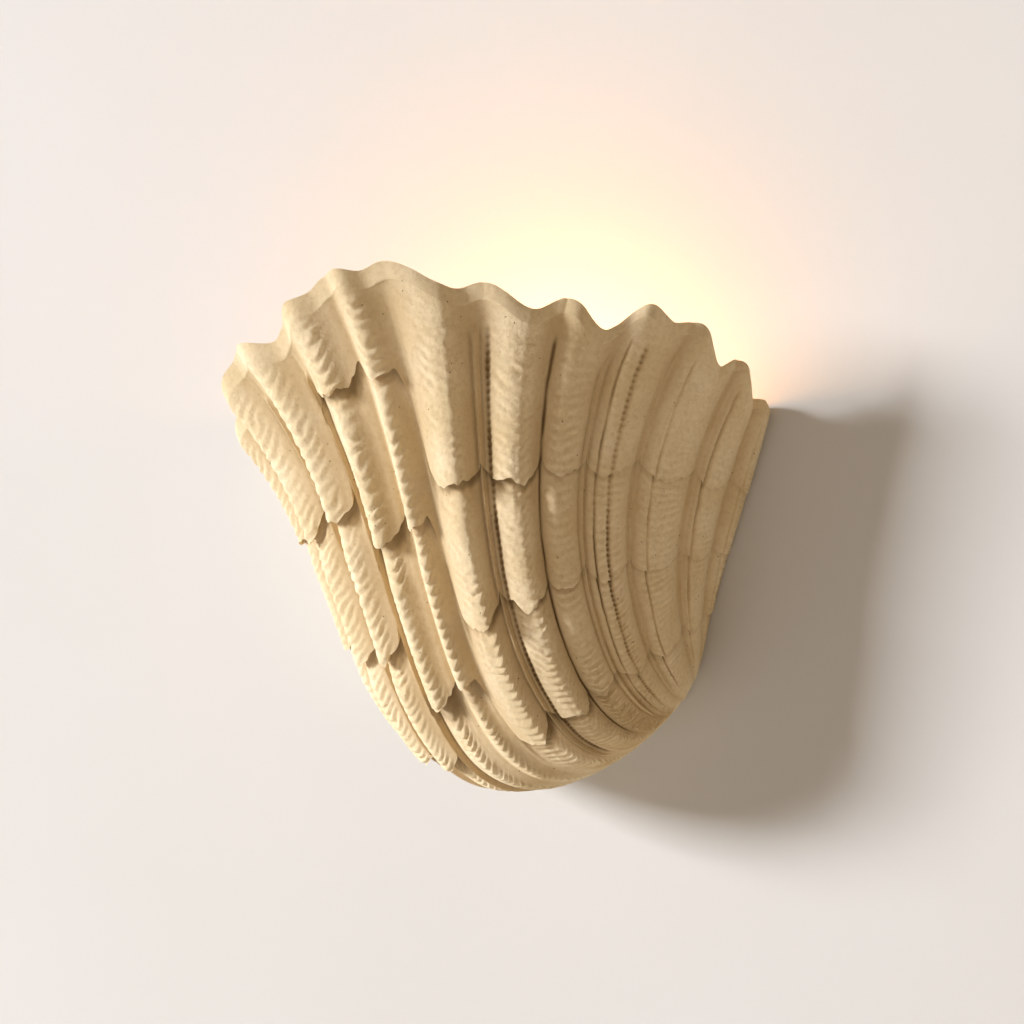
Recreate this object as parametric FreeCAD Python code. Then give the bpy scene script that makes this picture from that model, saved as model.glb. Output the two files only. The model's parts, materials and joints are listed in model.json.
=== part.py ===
import FreeCAD, Part
import math
import os

# Shell wall sconce: a fluted clam valve, cast in a sand-coloured stone composite, that hangs
# on a steel crossbar and hides an E14 lampholder and a small LED globe lamp.
#
# Frame: millimetres, +Z up, +X to the right as seen from the room, the room on the -Y side.
# The origin is the middle of the two wall screws, on the wall plane y = 0.

V = FreeCAD.Vector
UP = V(0, 0, 1)
ROOM = V(0, -1, 0)

# ---------------------------------------------------------------- driving dimensions: shell
SHELL_WIDTH = 307.0
SHELL_DEPTH = 142.0
SHELL_HEIGHT = 277.0

# A growth line is a half ellipse that stands on the wall. Four curves along the growth carry
# it: where its two ends meet the wall (x, z), how its middle bulges into the room and how its
# flanks are skewed (x, y, z). Each curve is pulled by five points, from the umbo to the rim.
# They are drawn for a shell of the first size here, and stretched to the size above.
DRAWN_SIZE = (307.0, 142.0, 277.0)
RIGHT_WALL = ((76, -63), (83, -48), (82, -20), (105, 22), (116, 77))
LEFT_WALL = ((70, -76), (-92, -126), (-150, -88), (-125, -1), (-178, 13))
BULGE = ((0, -22, 0), (55, -82, -67), (16, -107, -43), (0, -103, 21), (0, -133, 96))
SKEW = ((0, 0, 0), (4, 3, 9), (-12, -6, 11), (-25, -12, 8), (15, 14, -11))
LEFT_EAR_LIFT = 45.0        # the far left end of the rim is drawn up along the wall
LEFT_EAR_START = 150.0      # degrees round the growth line

# Valleys between the lobes, in degrees round the growth line from the right wall end, and each
# lobe's crest, as a share of the way from one valley to the next.
VALLEYS = (0, 9, 21, 37, 50, 61, 76, 91, 99, 115, 130, 146, 157, 168, 180)
CRESTS = (0.5, 0.7, 0.7, 0.65, 0.65, 0.36, 0.36, 0.6, 0.5, 0.5, 0.5, 0.5, 0.5, 0.5)
LOBE_DEPTH = 8.0            # how far a full lobe stands out of its valleys at the rim
FULL_LOBE = 15.0            # degrees, narrower lobes are shallower in proportion
STEP_LEVELS = (0.40, 0.61, 0.78)    # growth pauses, as shares of the way from umbo to rim
STEP_HEIGHT = 3.0           # each younger tier starts this far outside the older one
STEP_IN_VALLEY = 0.2        # share of the step that is left in a valley
STEP_DROOP = 0.035          # the tier's edge hangs lower on the lobes than in the valleys
LATE_RIBS = (91, 115)       # degrees: the ribs between these pause later than the others
LATE_SHIFT = 0.125
LATE_RAMP = 4.0             # degrees over which the edge climbs to them
# The rim's crests and dips: degrees round the growth line, and how far it has grown there.
RIM_SHARES = ((0, 1.005), (12, 0.980), (21, 1.012), (26, 0.979), (36.5, 1.024), (41, 1.008),
              (46.5, 1.019), (53, 0.973), (61, 1.006), (66, 0.977), (74.5, 1.011), (80, 0.997),
              (89.5, 1.032), (95, 1.019), (99, 1.021), (108, 0.996), (119, 0.971), (128, 0.987),
              (140, 0.972), (152, 0.955), (180, 0.990))
SHELL_WALL = 9.0
INNER_FLUTE = 0.6           # share of the lobes that the inside follows at the rim
HOLLOW_START = 0.12         # the hollow begins this far along the growth
TIER_ROWS = (6, 4, 4, 5)    # points along each tier
INNER_ROWS = 9

# ---------------------------------------------------------------- driving dimensions: fittings
GAP = 0.3                   # between pieces that part when the shell or the lamp moves
FIT = 0.08                  # radial running fit of a nut on its stud

PLATE_THICK = 2.0
BAR_BEYOND_STUD = 15.0
BAR_HEIGHT = 22.0
HUB_RADIUS = 24.0
TONGUE_WIDTH = 44.0
TONGUE_DROP = 62.0
WALL_SCREW_PITCH = 70.0
WALL_SLOT_WIDTH = 5.0
WALL_SLOT_LENGTH = 12.0
CABLE_HOLE_RADIUS = 8.0
GROMMET_BORE_RADIUS = 5.0
GROMMET_LIP = 1.5

NUT_TO_LUG = 2.0            # between a thumb nut and the cast lug beside it
STUD_RADIUS = 2.5
STUD_LENGTH = 24.0
STUD_NUT_FLATS = 8.0
STUD_NUT_THICK = 4.0

EAR_THICK = 2.0
EAR_WIDTH = 22.0
EAR_HOLE_CLEAR = 1.0
LUG_DEPTH = 18.0
LUG_REACH = 27.0            # from the middle of the shell wall towards the stud
LUG_SCREW_INSET = 8.0       # from the inner end of the lug
EAR_SCREW_RADIUS = 2.0
EAR_SCREW_LENGTH = 12.0
INSERT_RADIUS = 3.5
INSERT_LENGTH = 14.0
SCREW_HEAD_FACTOR = 1.9     # pan head radius as a multiple of the screw's
SCREW_HEAD_THICK = 1.6
SHANK_CLEAR = 0.1

WASHER_THICK = 1.0
WASHER_RADIUS = 8.0
THUMB_NUT_RADIUS = 9.0
THUMB_NUT_THICK = 7.0
THUMB_COLLAR_RADIUS = 6.0
THUMB_COLLAR_THICK = 3.0
KNURL_COUNT = 12
KNURL_RADIUS = 1.0

LAMP_AXIS_Y = -48.0
ARM_TOP = -58.0
ARM_THICK = 2.0
ARM_WIDTH = 20.0
LEG_WIDTH = 34.0
LEG_HEIGHT = 16.0
BRACKET_SCREW_RADIUS = 2.0
BRACKET_SCREW_PITCH = 22.0
LEAD_HOLE_RADIUS = 6.0
LEAD_HOLE_Y = -13.0

NIPPLE_RADIUS = 5.0
NIPPLE_BORE = 3.5
NIPPLE_LENGTH = 16.0
NIPPLE_BELOW_ARM = 8.0
NIPPLE_NUT_FLATS = 14.0
NIPPLE_NUT_THICK = 3.0

HOLDER_RADIUS = 13.5
HOLDER_WALL = 2.0
HOLDER_CAP_HEIGHT = 16.0
HOLDER_BODY_HEIGHT = 34.0
HOLDER_RING_HEIGHT = 5.0
HOLDER_RING_PROUD = 1.5
INSERT_DISC_THICK = 6.0
SLEEVE_LENGTH = 22.0
SLEEVE_WALL = 0.4
CONTACT_WIDTH = 4.3
CONTACT_DEPTH = 5.0
CONTACT_HEIGHT = 6.0
LEAF_THICK = 2.0

CAP_RADIUS = 6.9            # E14 screw cap
CAP_LENGTH = 17.0
CAP_CLEAR = 0.3
CAP_RIBS = 5
CAP_RIB_PROUD = 0.25
INSULATOR_HEIGHT = 3.5
TIP_RADIUS = 2.4
TIP_HEIGHT = 1.5
BULB_BODY_HEIGHT = 27.0
DOME_RADIUS = 22.5
DOME_WALL = 1.2
DOME_SEAT_RADIUS = 19.0
BOARD_RADIUS = 15.0
BOARD_THICK = 1.6
LED_COUNT = 8
LED_RING = 10.0
LED_SIZE = 2.8
LED_THICK = 0.7

BLOCK_WIDTH = 30.0
BLOCK_HEIGHT = 14.0
BLOCK_DEPTH = 14.0
BLOCK_TOP = -26.0
POLE_PITCH = 9.5
POLE_BORE = 2.0
CLAMP_RADIUS = 1.9
BLOCK_SCREW_RADIUS = 1.25
EARTH_X = 16.0
EARTH_Z = -15.0
EARTH_SCREW_RADIUS = 2.0
TAG_RADIUS = 4.0
TAG_THICK = 0.8
LEAD_RADIUS = 1.1
LEAD_BEND = 4.5
LEAD_LOW_Z = -75.0
LEAD_SPREAD = 1.7
LEAD_IN_POLE = 3.0
LEAD_OUT_BELOW = 7.0
LEAD_OUT_ABOVE = 5.0
LEAD_OVER_ARM = 3.0

# ---------------------------------------------------------------- places worked out from them
EAR_BACK = PLATE_THICK + STUD_NUT_THICK + GAP           # distances from the wall into the room
EAR_FRONT = EAR_BACK + EAR_THICK
WASHER_FRONT = EAR_FRONT + WASHER_THICK
NUT_BACK = WASHER_FRONT + GAP
CAP_FLOOR = ARM_TOP
BODY_FLOOR = ARM_TOP + HOLDER_CAP_HEIGHT
DISC_FLOOR = BODY_FLOOR + HOLDER_WALL
DISC_TOP = DISC_FLOOR + INSERT_DISC_THICK
SLEEVE_RADIUS = CAP_RADIUS + CAP_RIB_PROUD + CAP_CLEAR
LEAF_TOP = DISC_TOP + LEAF_THICK
TIP_FLOOR = LEAF_TOP + GAP
BULB_CAP_FLOOR = TIP_FLOOR + TIP_HEIGHT + INSULATOR_HEIGHT
BULB_BODY_FLOOR = BULB_CAP_FLOOR + CAP_LENGTH
DOME_FLOOR = BULB_BODY_FLOOR + BULB_BODY_HEIGHT
DOME_CENTRE = DOME_FLOOR + math.sqrt(DOME_RADIUS ** 2 - DOME_SEAT_RADIUS ** 2)
BLOCK_FLOOR = BLOCK_TOP - BLOCK_HEIGHT
POLE_Y = -(PLATE_THICK + BLOCK_DEPTH / 2)
LEG_TOP = ARM_TOP - ARM_THICK + LEG_HEIGHT
BRACKET_SCREW_Z = LEG_TOP - LEG_HEIGHT / 2
BRACKET_FRONT = PLATE_THICK + ARM_THICK


# ---------------------------------------------------------------- small helpers
def box(x0, x1, y0, y1, z0, z1):
    return Part.makeBox(x1 - x0, y1 - y0, z1 - z0, V(x0, y0, z0))


def peg(x, z, radius, start, end):
    """A round peg that stands out of the wall, from one depth to another."""
    return Part.makeCylinder(radius, end - start, V(x, -start, z), ROOM)


def rod(radius, z0, z1, x=0.0, y=LAMP_AXIS_Y):
    return Part.makeCylinder(radius, z1 - z0, V(x, y, z0), UP)


def tube(outer, inner, z0, z1):
    return rod(outer, z0, z1).cut(rod(inner, z0 - 1, z1 + 1))


def hex_prism(flats, thick, base, axis, bore):
    corner = flats / math.sqrt(3)
    side = V(1, 0, 0)
    other = axis.cross(side)
    turns = [math.radians(60 * k) for k in range(7)]
    wire = Part.makePolygon([base + side * corner * math.cos(a) + other * corner * math.sin(a)
                             for a in turns])
    nut = Part.Face(wire).extrude(axis * thick)
    return nut.cut(Part.makeCylinder(bore, thick + 2, base - axis, axis))


def pan_screw(x, z, radius, head_back, length):
    """A pan-head screw that is driven towards the wall: its head lies in front of head_back."""
    shank = peg(x, z, radius, head_back - length, head_back)
    head_radius = radius * SCREW_HEAD_FACTOR
    head = peg(x, z, head_radius, head_back, head_back + SCREW_HEAD_THICK)
    slot = box(x - head_radius, x + head_radius, -(head_back + SCREW_HEAD_THICK),
               -(head_back + SCREW_HEAD_THICK / 2), z - radius / 5, z + radius / 5)
    return shank.fuse(head).cut(slot)


def stadium(x0, x1, z, width, start, end):
    """A flat strip with round ends that faces the room."""
    radius = width / 2
    left, right = min(x0, x1), max(x0, x1)
    strip = box(left, right, -end, -start, z - radius, z + radius)
    return strip.fuse([peg(left, z, radius, start, end), peg(right, z, radius, start, end)])


def group(solids):
    return Part.makeCompound(solids)


def smooth(x):
    x = max(0.0, min(1.0, x))
    return x * x * (3 - 2 * x)


# ---------------------------------------------------------------- the fluted shell
def stretched(x, y, z):
    width, depth, height = DRAWN_SIZE
    return V(x * SHELL_WIDTH / width, y * SHELL_DEPTH / depth, z * SHELL_HEIGHT / height)


def pulled(points, v):
    """The point at share v of a curve that is pulled by the given points."""
    rows = [stretched(*p) for p in points]
    while len(rows) > 1:
        rows = [a * (1 - v) + b * v for a, b in zip(rows, rows[1:])]
    return rows[0]


def on_wall(pairs):
    return [(x, 0, z) for x, z in pairs]


def growth_line(v, skewed=1.0):
    right = pulled(on_wall(RIGHT_WALL), v)
    left = pulled(on_wall(LEFT_WALL), v)
    middle = (right + left) * 0.5
    chord = (right - left) * 0.5
    return middle, chord, pulled(BULGE, v), pulled(SKEW, v) * skewed


def base_point(t, v, skewed=1.0):
    middle, chord, bulge, skew = growth_line(v, skewed)
    a = math.radians(t)
    across = 0.0 if t in (0, 180) else math.sin(a)
    twist = 0.0 if t in (0, 180) else math.sin(2 * a)
    ear = skewed * LEFT_EAR_LIFT * v ** 3 * smooth((t - LEFT_EAR_START) / (180 - LEFT_EAR_START))
    return middle + chord * math.cos(a) + bulge * across + skew * twist + V(0, 0, ear)


def outward(t, v):
    """Across the growth line, away from its inside; flat along the wall at both ends."""
    chord, bulge = growth_line(v)[1:3]
    a = math.radians(t)
    across = 0.0 if t in (0, 180) else math.sin(a)
    way = chord * (math.cos(a) / chord.Length ** 2) + bulge * (across / bulge.Length ** 2)
    return way.normalize()


def lobe(t):
    """Height of the fluting at t: 0 in a valley, up to 1 on a full lobe."""
    for first, last, crest in zip(VALLEYS, VALLEYS[1:], CRESTS):
        if first <= t <= last:
            place = (t - first) / (last - first)
            climb = place / crest if place < crest else (1 - place) / (1 - crest)
            wave = math.sin(math.pi / 2 * climb)
            return min(1.0, (last - first) / FULL_LOBE) * wave * (1 + wave) / 2
    return 0.0


def lobe_angles():
    """Four lines across each lobe: its valley, its crest and the middles of its flanks."""
    angles = []
    for first, last, crest in zip(VALLEYS, VALLEYS[1:], CRESTS):
        for share in (0, crest / 2, crest, (1 + crest) / 2):
            angles.append(first + (last - first) * share)
    return angles + [180]


def rim_level(t):
    for (first, low), (last, high) in zip(RIM_SHARES, RIM_SHARES[1:]):
        if first <= t <= last:
            return low + (high - low) * smooth((t - first) / (last - first))
    return RIM_SHARES[-1][1]


def tier_edge(t, tier):
    """Where a tier begins, as a share of the growth: the umbo, three steps and the rim."""
    if tier == 0:
        return 0.0
    if tier == len(STEP_LEVELS) + 1:
        return rim_level(t)
    first, last = LATE_RIBS
    late = smooth((t - first) / LATE_RAMP + 0.5) * smooth((last - t) / LATE_RAMP + 0.5)
    return STEP_LEVELS[tier - 1] + LATE_SHIFT * late - STEP_DROOP * (lobe(t) - 0.5)


def outer_point(t, tier, share):
    low = tier_edge(t, tier)
    v = low + (tier_edge(t, tier + 1) - low) * share
    flute = LOBE_DEPTH * lobe(t) * smooth(v / 0.9)
    full_step = STEP_HEIGHT * (STEP_IN_VALLEY + (1 - STEP_IN_VALLEY) * lobe(t))
    step = full_step * (1 - share) if tier else 0.0
    return base_point(t, v) + outward(t, v) * (flute + step)


def inner_point(t, share):
    v = HOLLOW_START + (tier_edge(t, len(STEP_LEVELS) + 1) - HOLLOW_START) * share
    flute = INNER_FLUTE * LOBE_DEPTH * lobe(t) * smooth(share)
    return base_point(t, v, smooth(share * 3)) + outward(t, v) * (flute - SHELL_WALL)


def spline(points, places):
    curve = Part.BSplineCurve()
    curve.interpolate(Points=points, Parameters=places)
    return curve


def skin(point_at, rows):
    """A smooth surface through point_at(t, share) over the lobes and the given rows."""
    shares = [k / (rows - 1) for k in range(rows)]
    angles = lobe_angles()
    lines = [spline([point_at(t, share) for t in angles], angles) for share in shares]
    columns = [spline(list(poles), shares) for poles in zip(*[c.getPoles() for c in lines])]
    surface = Part.BSplineSurface()
    surface.buildFromPolesMultsKnots(
        [column.getPoles() for column in columns],
        lines[0].getMultiplicities(), columns[0].getMultiplicities(),
        lines[0].getKnots(), columns[0].getKnots(), False, False,
        lines[0].Degree, columns[0].Degree)
    return surface


def along(surface, end):
    """The edge of a skin on the wall, at its right (0) or left (1) end."""
    u = surface.bounds()[end]
    return surface.uIso(u).toShape()


def across(surface, end):
    """The edge of a skin along a growth line, at its older (0) or younger (1) end."""
    v = surface.bounds()[2 + end]
    return surface.vIso(v).toShape()


def ends(edge):
    return edge.valueAt(edge.FirstParameter), edge.valueAt(edge.LastParameter)


def shell_faces():
    tiers = [skin(lambda t, s, k=k: outer_point(t, k, s), n) for k, n in enumerate(TIER_ROWS)]
    hollow = skin(inner_point, INNER_ROWS)
    faces = [surface.toShape() for surface in tiers + [hollow]]
    wall_edges = [along(surface, end) for surface in tiers + [hollow] for end in (0, 1)]
    joins = list(zip(tiers, tiers[1:]))
    seams = [(across(older, 1), across(younger, 0)) for older, younger in joins]
    seams.append((across(tiers[-1], 1), across(hollow, 1)))
    for first, second in seams:
        faces.append(Part.makeRuledSurface(first, second))
        for a, b in zip(ends(first), ends(second)):
            wall_edges.append(Part.makeLine(a, b))
    for tip in (across(tiers[0], 0), across(hollow, 0)):
        chord = Part.makeLine(*ends(tip))
        wall_edges.append(chord)
        faces.append(Part.Face(Part.Wire([tip, chord])))
    back = Part.Wire(Part.__sortEdges__(wall_edges))
    faces.append(Part.Face(back))
    return faces


def wall_share(z, end):
    """The share of growth at which the shell's wall end crosses height z."""
    low, high = HOLLOW_START, 1.0
    for _ in range(40):
        mid = (low + high) / 2
        if base_point(end, mid).z < z:
            low = mid
        else:
            high = mid
    return low


def wall_middle_x(z, side):
    """Middle of the shell's thickness beside the wall, right (+1) or left (-1)."""
    end = 0 if side > 0 else 180
    return base_point(end, wall_share(z, end)).x - side * SHELL_WALL / 2


def lug_inner_x(side):
    return wall_middle_x(0, side) - side * LUG_REACH


def stud_x():
    """Both studs stand as far out as the right lug, the nearer one, leaves room for its nut."""
    return lug_inner_x(1) - NUT_TO_LUG - THUMB_NUT_RADIUS


def lug_screw_x(side):
    return lug_inner_x(side) + side * LUG_SCREW_INSET


def lug(side):
    """A cast lug that grows out of the shell's wall and carries a hanging ear."""
    half = EAR_WIDTH / 2
    inner = lug_inner_x(side)
    corners = [V(inner, -EAR_FRONT, -half), V(inner, -EAR_FRONT, half),
               V(wall_middle_x(half, side), -EAR_FRONT, half),
               V(wall_middle_x(-half, side), -EAR_FRONT, -half)]
    face = Part.Face(Part.makePolygon(corners + corners[:1]))
    return face.extrude(ROOM * LUG_DEPTH)


def shell():
    cast = Part.makeShell(shell_faces())
    cast.sewShape()
    body = Part.makeSolid(cast)
    if body.Volume < 0:
        body.reverse()
    for side in (1, -1):
        body = body.fuse(lug(side))
    for side in (1, -1):
        body = body.cut(peg(lug_screw_x(side), 0, INSERT_RADIUS, EAR_FRONT,
                            EAR_FRONT + INSERT_LENGTH))
    return body


# ---------------------------------------------------------------- what rides with the shell
def shell_inserts():
    bodies = []
    for side in (1, -1):
        x = lug_screw_x(side)
        body = peg(x, 0, INSERT_RADIUS, EAR_FRONT, EAR_FRONT + INSERT_LENGTH)
        bodies.append(body.cut(peg(x, 0, EAR_SCREW_RADIUS, EAR_FRONT - 1,
                                   EAR_FRONT + INSERT_LENGTH - 1)))
    return group(bodies)


def hanging_ears():
    ears = []
    for side in (1, -1):
        ear = stadium(side * stud_x(), lug_screw_x(side), 0, EAR_WIDTH, EAR_BACK, EAR_FRONT)
        ear = ear.cut(peg(side * stud_x(), 0, STUD_RADIUS + EAR_HOLE_CLEAR, 0, EAR_FRONT + 1))
        ears.append(ear.cut(peg(lug_screw_x(side), 0, EAR_SCREW_RADIUS + SHANK_CLEAR, 0,
                                EAR_FRONT + 1)))
    return group(ears)


def ear_screws():
    """Screws that enter from the wall side and hold the ears to the lugs."""
    screws = []
    head_radius = EAR_SCREW_RADIUS * SCREW_HEAD_FACTOR
    for side in (1, -1):
        x = lug_screw_x(side)
        shank = peg(x, 0, EAR_SCREW_RADIUS, EAR_BACK, EAR_BACK + EAR_SCREW_LENGTH)
        head = peg(x, 0, head_radius, EAR_BACK - SCREW_HEAD_THICK, EAR_BACK)
        slot = box(x - head_radius, x + head_radius, -(EAR_BACK - SCREW_HEAD_THICK / 2),
                   -(EAR_BACK - SCREW_HEAD_THICK), -EAR_SCREW_RADIUS / 5, EAR_SCREW_RADIUS / 5)
        screws.append(shank.fuse(head).cut(slot))
    return group(screws)


def nut_washers():
    washers = []
    for side in (1, -1):
        x = side * stud_x()
        disc = peg(x, 0, WASHER_RADIUS, EAR_FRONT, WASHER_FRONT)
        washers.append(disc.cut(peg(x, 0, STUD_RADIUS + EAR_HOLE_CLEAR, 0, WASHER_FRONT + 1)))
    return group(washers)


def thumb_nut(side):
    x = side * stud_x()
    disc_back = NUT_BACK + THUMB_COLLAR_THICK
    front = disc_back + THUMB_NUT_THICK
    nut = peg(x, 0, THUMB_COLLAR_RADIUS, NUT_BACK, disc_back)
    nut = nut.fuse(peg(x, 0, THUMB_NUT_RADIUS, disc_back, front))
    for k in range(KNURL_COUNT):
        a = math.radians(360 * k / KNURL_COUNT)
        nut = nut.cut(peg(x + THUMB_NUT_RADIUS * math.cos(a), THUMB_NUT_RADIUS * math.sin(a),
                          KNURL_RADIUS, disc_back - 1, front + 1))
    return nut.cut(peg(x, 0, STUD_RADIUS + FIT, NUT_BACK - 1, front + 1))


# ---------------------------------------------------------------- what stays on the wall
def wall_plate():
    half_bar = stud_x() + BAR_BEYOND_STUD - BAR_HEIGHT / 2
    plate = stadium(-half_bar, half_bar, 0, BAR_HEIGHT, 0, PLATE_THICK)
    plate = plate.fuse(peg(0, 0, HUB_RADIUS, 0, PLATE_THICK))
    half = TONGUE_WIDTH / 2
    plate = plate.fuse(box(-half, half, -PLATE_THICK, 0, -TONGUE_DROP, 0))
    holes = [peg(0, 0, CABLE_HOLE_RADIUS, -1, PLATE_THICK + 1),
             peg(EARTH_X, EARTH_Z, EARTH_SCREW_RADIUS + SHANK_CLEAR, -1, PLATE_THICK + 1)]
    for side in (1, -1):
        middle = side * WALL_SCREW_PITCH / 2
        reach = (WALL_SLOT_LENGTH - WALL_SLOT_WIDTH) / 2
        holes.append(stadium(middle - reach, middle + reach, 0, WALL_SLOT_WIDTH, -1,
                             PLATE_THICK + 1))
        holes.append(peg(side * stud_x(), 0, STUD_RADIUS, -1, PLATE_THICK + 1))
        holes.append(peg(side * BRACKET_SCREW_PITCH / 2, BRACKET_SCREW_Z,
                         BRACKET_SCREW_RADIUS + SHANK_CLEAR, -1, PLATE_THICK + 1))
        holes.append(peg(side * POLE_PITCH / 2, BLOCK_TOP - BLOCK_HEIGHT / 2,
                         BLOCK_SCREW_RADIUS + SHANK_CLEAR, -1, PLATE_THICK + 1))
    return plate.cut(holes)


def cable_grommet():
    lip = GROMMET_LIP
    ring = peg(0, 0, CABLE_HOLE_RADIUS, 0, PLATE_THICK + lip)
    ring = ring.fuse(peg(0, 0, CABLE_HOLE_RADIUS + lip, PLATE_THICK, PLATE_THICK + lip))
    return ring.cut(peg(0, 0, GROMMET_BORE_RADIUS, -1, PLATE_THICK + lip + 1))


def studs():
    rods = []
    for side in (1, -1):
        x = side * stud_x()
        length = peg(x, 0, STUD_RADIUS, 0, STUD_LENGTH)
        rods.append(length.makeChamfer(STUD_RADIUS / 5, [length.Edges[0]]))
    return group(rods)


def stud_nuts():
    return group([hex_prism(STUD_NUT_FLATS, STUD_NUT_THICK, V(side * stud_x(), -PLATE_THICK, 0),
                            ROOM, STUD_RADIUS) for side in (1, -1)])


def lamp_bracket():
    half = LEG_WIDTH / 2
    leg = box(-half, half, -BRACKET_FRONT, -PLATE_THICK, ARM_TOP - ARM_THICK, LEG_TOP)
    half = ARM_WIDTH / 2
    arm = box(-half, half, LAMP_AXIS_Y, -PLATE_THICK, ARM_TOP - ARM_THICK, ARM_TOP)
    arm = arm.fuse(rod(half, ARM_TOP - ARM_THICK, ARM_TOP))
    bracket = leg.fuse(arm).removeSplitter()
    holes = [rod(NIPPLE_RADIUS, ARM_TOP - ARM_THICK - 1, ARM_TOP + 1),
             rod(LEAD_HOLE_RADIUS, ARM_TOP - ARM_THICK - 1, ARM_TOP + 1, 0, LEAD_HOLE_Y)]
    for side in (1, -1):
        holes.append(peg(side * BRACKET_SCREW_PITCH / 2, BRACKET_SCREW_Z,
                         BRACKET_SCREW_RADIUS + SHANK_CLEAR, 0, BRACKET_FRONT + 1))
    return bracket.cut(holes)


def bracket_screws():
    return group([pan_screw(side * BRACKET_SCREW_PITCH / 2, BRACKET_SCREW_Z,
                            BRACKET_SCREW_RADIUS, BRACKET_FRONT, BRACKET_FRONT)
                  for side in (1, -1)])


# ---------------------------------------------------------------- the lampholder
def nipple():
    low = ARM_TOP - ARM_THICK - NIPPLE_BELOW_ARM
    return tube(NIPPLE_RADIUS, NIPPLE_BORE, low, low + NIPPLE_LENGTH)


def nipple_nuts():
    low = V(0, LAMP_AXIS_Y, ARM_TOP - ARM_THICK - WASHER_THICK - NIPPLE_NUT_THICK)
    high = V(0, LAMP_AXIS_Y, CAP_FLOOR + HOLDER_WALL)
    return group([hex_prism(NIPPLE_NUT_FLATS, NIPPLE_NUT_THICK, at, UP, NIPPLE_RADIUS)
                  for at in (low, high)])


def nipple_washer():
    top = ARM_TOP - ARM_THICK
    return tube(WASHER_RADIUS, NIPPLE_RADIUS, top - WASHER_THICK, top)


def holder_cap():
    cup = rod(HOLDER_RADIUS, CAP_FLOOR, BODY_FLOOR)
    cup = cup.makeChamfer(HOLDER_WALL, [e for e in cup.Edges if e.CenterOfMass.z < CAP_FLOOR + 0.1])
    cup = cup.cut(rod(HOLDER_RADIUS - HOLDER_WALL, CAP_FLOOR + HOLDER_WALL, BODY_FLOOR + 1))
    return cup.cut(rod(NIPPLE_RADIUS, CAP_FLOOR - 1, BODY_FLOOR))


def holder_body():
    top = BODY_FLOOR + HOLDER_BODY_HEIGHT
    body = rod(HOLDER_RADIUS, BODY_FLOOR, top)
    body = body.fuse(rod(HOLDER_RADIUS + HOLDER_RING_PROUD, top - HOLDER_RING_HEIGHT, top))
    body = body.cut(rod(HOLDER_RADIUS - HOLDER_WALL, DISC_FLOOR, top + 1))
    return body.cut(rod(HOLDER_RADIUS - 2 * HOLDER_WALL, BODY_FLOOR - 1, DISC_FLOOR + 1))


def holder_insert():
    disc = rod(HOLDER_RADIUS - HOLDER_WALL, DISC_FLOOR, DISC_TOP)
    seat = tube(HOLDER_RADIUS - HOLDER_WALL, SLEEVE_RADIUS + SLEEVE_WALL, DISC_TOP,
                DISC_TOP + SLEEVE_LENGTH / 2)
    return disc.fuse(seat).removeSplitter()


def holder_sleeve():
    return tube(SLEEVE_RADIUS + SLEEVE_WALL, SLEEVE_RADIUS, DISC_TOP, DISC_TOP + SLEEVE_LENGTH)


def holder_contacts():
    """The lamp's centre leaf on the disc, and the two lead terminals under it."""
    leaf = rod(TIP_RADIUS, DISC_TOP, LEAF_TOP)
    low = DISC_FLOOR - CONTACT_HEIGHT
    half = CONTACT_DEPTH / 2
    near = LEAD_SPREAD - LEAD_RADIUS / 2
    blocks = []
    for side in (1, -1):
        x0, x1 = sorted((side * near, side * (near + CONTACT_WIDTH)))
        blocks.append(box(x0, x1, LAMP_AXIS_Y - half, LAMP_AXIS_Y + half, low, DISC_FLOOR))
    return group([leaf] + blocks)


# ---------------------------------------------------------------- the lamp
def bulb_tip():
    return rod(TIP_RADIUS, TIP_FLOOR, TIP_FLOOR + TIP_HEIGHT)


def bulb_insulator():
    low = TIP_FLOOR + TIP_HEIGHT
    return Part.makeCone(TIP_RADIUS + 1, CAP_RADIUS - 1, INSULATOR_HEIGHT,
                         V(0, LAMP_AXIS_Y, low), UP)


def bulb_screw_cap():
    cap = rod(CAP_RADIUS, BULB_CAP_FLOOR, BULB_BODY_FLOOR)
    pitch = CAP_LENGTH / (CAP_RIBS + 1)
    for k in range(CAP_RIBS):
        z = BULB_CAP_FLOOR + pitch * (k + 1)
        cap = cap.fuse(rod(CAP_RADIUS + CAP_RIB_PROUD, z - pitch / 4, z + pitch / 4))
    return cap


def bulb_body():
    return Part.makeCone(CAP_RADIUS + CAP_RIB_PROUD, DOME_SEAT_RADIUS, BULB_BODY_HEIGHT,
                         V(0, LAMP_AXIS_Y, BULB_BODY_FLOOR), UP)


def bulb_board():
    return rod(BOARD_RADIUS, DOME_FLOOR, DOME_FLOOR + BOARD_THICK)


def bulb_leds():
    chips = []
    half = LED_SIZE / 2
    low = DOME_FLOOR + BOARD_THICK
    for k in range(LED_COUNT):
        a = math.radians(360 * k / LED_COUNT)
        x = LED_RING * math.cos(a)
        y = LAMP_AXIS_Y + LED_RING * math.sin(a)
        chips.append(box(x - half, x + half, y - half, y + half, low, low + LED_THICK))
    return group(chips)


def bulb_dome():
    centre = V(0, LAMP_AXIS_Y, DOME_CENTRE)
    ball = Part.makeSphere(DOME_RADIUS, centre).cut(Part.makeSphere(DOME_RADIUS - DOME_WALL, centre))
    return ball.common(rod(DOME_RADIUS + 1, DOME_FLOOR, DOME_CENTRE + DOME_RADIUS + 1))


# ---------------------------------------------------------------- wiring
def pole_x(pole):
    return pole * POLE_PITCH


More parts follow.
